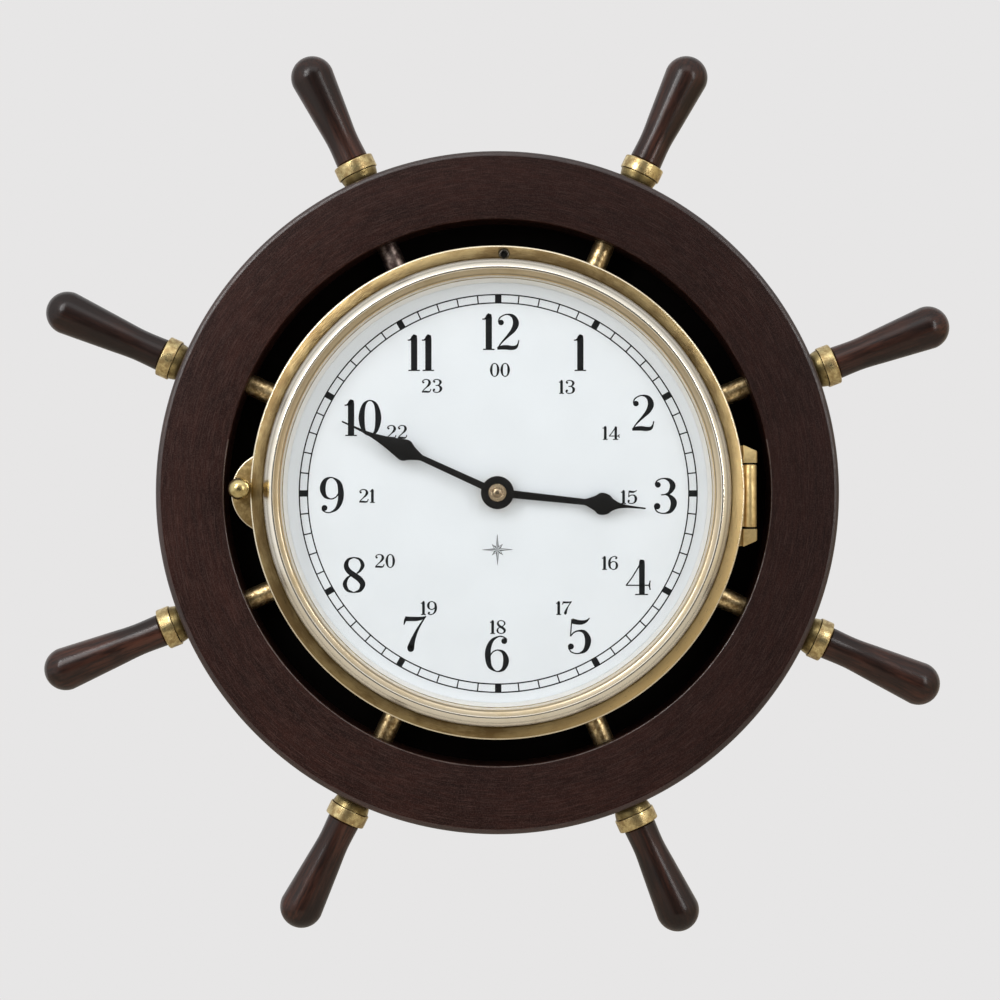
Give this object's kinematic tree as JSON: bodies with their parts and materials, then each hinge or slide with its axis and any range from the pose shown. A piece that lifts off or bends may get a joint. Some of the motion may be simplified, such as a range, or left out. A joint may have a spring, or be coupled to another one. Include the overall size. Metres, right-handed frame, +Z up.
{
  "type": "ship wheel clock",
  "caption": "Wall clock: turned wood ship's wheel with handles, carrying on brass spokes a brass case with hinged glazed bezel, latch, dial, hands and battery movement.",
  "frame": {"origin": "centre of the back board's rear face, on the wall plane and on the axis of the hands", "axes": "+X to the right for someone facing the clock, where the bezel's hinge is; +Y into the wall; +Z up"},
  "size_m": [0.3399, 0.0422, 0.3288],
  "materials": {
    "rim_wood": "satin dark brown wood, fine grain round the ring",
    "handle_wood": "polished near-black rosewood, grain along the handle",
    "black_board": "black painted thin board",
    "aged_brass": "satin aged brass with olive and copper-brown tarnish",
    "polished_brass": "polished brass, brushed on the flat band",
    "steel": "plain bright steel",
    "dark_steel": "blackened steel",
    "glass": "clear flat glass",
    "dial_white": "cool white painted sheet with black printing",
    "hand_black": "semi-matt black",
    "black_plastic": "matt black moulded plastic",
    "white_plastic": "white moulded plastic",
    "rubber": "black rubber",
    "battery_label": "dark printed sleeve; aluminium stands in for a cell's mean density",
    "copper_wire": "enamelled copper winding",
    "circuit_green": "green lacquered board"
  },
  "bodies": {
    "wheel": {"wheel_rim": "rim_wood", "back_board": "black_board", "handle_1": "handle_wood", "handle_2": "handle_wood", "handle_3": "handle_wood", "handle_4": "handle_wood", "handle_5": "handle_wood", "handle_6": "handle_wood", "handle_7": "handle_wood", "handle_8": "handle_wood", "ferrule_1": "aged_brass", "ferrule_2": "aged_brass", "ferrule_3": "aged_brass", "ferrule_4": "aged_brass", "ferrule_5": "aged_brass", "ferrule_6": "aged_brass", "ferrule_7": "aged_brass", "ferrule_8": "aged_brass", "spoke_1": "aged_brass", "spoke_2": "aged_brass", "spoke_3": "aged_brass", "spoke_4": "aged_brass", "spoke_5": "aged_brass", "spoke_6": "aged_brass", "spoke_7": "aged_brass", "spoke_8": "aged_brass", "case": "aged_brass", "hinge_pin": "steel", "dial": "dial_white", "dial_ring": "polished_brass", "hex_nut": "aged_brass", "rubber_washer": "rubber", "hanger_plate": "steel", "hanger_screw_1": "steel", "hanger_screw_2": "steel", "movement_case": "black_plastic", "movement_cover": "black_plastic", "battery": "battery_label", "contact_pos": "steel", "contact_neg": "steel", "stator": "steel", "coil": "copper_wire", "circuit_board": "circuit_green"},
    "door": {"bezel": "polished_brass", "glass": "glass", "glass_ring": "polished_brass", "top_screw": "dark_steel"},
    "latch": {"latch_knob": "polished_brass", "latch_claw": "aged_brass"},
    "minute": {"minute_hand": "hand_black", "hand_nut": "polished_brass", "centre_arbor": "steel"},
    "motion_wheel": {"minute_wheel": "white_plastic"},
    "hour": {"hour_hand": "hand_black", "hour_wheel": "white_plastic"},
    "setter": {"set_knob": "white_plastic"},
    "motor_rotor": {"rotor": "dark_steel"},
    "fourth": {"fourth_wheel": "white_plastic"},
    "third": {"third_wheel": "white_plastic"},
    "centre": {"centre_wheel": "polished_brass"}
  },
  "joints": [
    {"name": "bezel_hinge", "type": "hinge", "parent": "wheel", "child": "door", "pos_m": [0.0932, -0.032, -0.0012], "axis": [0, 0, 1], "range_deg": [0, 110]},
    {"name": "latch_turn", "type": "hinge", "parent": "door", "child": "latch", "pos_m": [-0.0946, -0.032, 0.0014], "axis": [0, -1, 0], "range_deg": [0, 90]},
    {"name": "minute_turn", "type": "hinge", "parent": "wheel", "child": "minute", "pos_m": [0, 0, 0], "axis": [0, -1, 0], "continuous": true},
    {"name": "minute_wheel_turn", "type": "hinge", "parent": "wheel", "child": "motion_wheel", "pos_m": [-0.00831, 0, 0.0048], "axis": [0, -1, 0], "continuous": true},
    {"name": "hour_turn", "type": "hinge", "parent": "wheel", "child": "hour", "pos_m": [0, 0, 0], "axis": [0, -1, 0], "continuous": true},
    {"name": "set_knob_turn", "type": "hinge", "parent": "wheel", "child": "setter", "pos_m": [-0.01767, 0, 0.0102], "axis": [0, -1, 0], "continuous": true},
    {"name": "rotor_turn", "type": "hinge", "parent": "wheel", "child": "motor_rotor", "pos_m": [0.00366, 0, 0.0135], "axis": [0, -1, 0], "continuous": true},
    {"name": "fourth_wheel_turn", "type": "hinge", "parent": "wheel", "child": "fourth", "pos_m": [0.00996, 0, 0.0135], "axis": [0, -1, 0], "continuous": true},
    {"name": "third_wheel_turn", "type": "hinge", "parent": "wheel", "child": "third", "pos_m": [0.00865, 0, 0.00606], "axis": [0, -1, 0], "continuous": true},
    {"name": "centre_wheel_turn", "type": "hinge", "parent": "wheel", "child": "centre", "pos_m": [0, 0, 0], "axis": [0, -1, 0], "continuous": true}
  ],
  "couplings": [
    {"joint": "minute_wheel_turn", "follows": "minute_turn", "ratio": -0.33333},
    {"joint": "hour_turn", "follows": "minute_turn", "ratio": 0.083333},
    {"joint": "set_knob_turn", "follows": "minute_turn", "ratio": 0.66667},
    {"joint": "fourth_wheel_turn", "follows": "rotor_turn", "ratio": -0.16667},
    {"joint": "third_wheel_turn", "follows": "rotor_turn", "ratio": 0.027778},
    {"joint": "centre_wheel_turn", "follows": "rotor_turn", "ratio": -0.0027778}
  ]
}
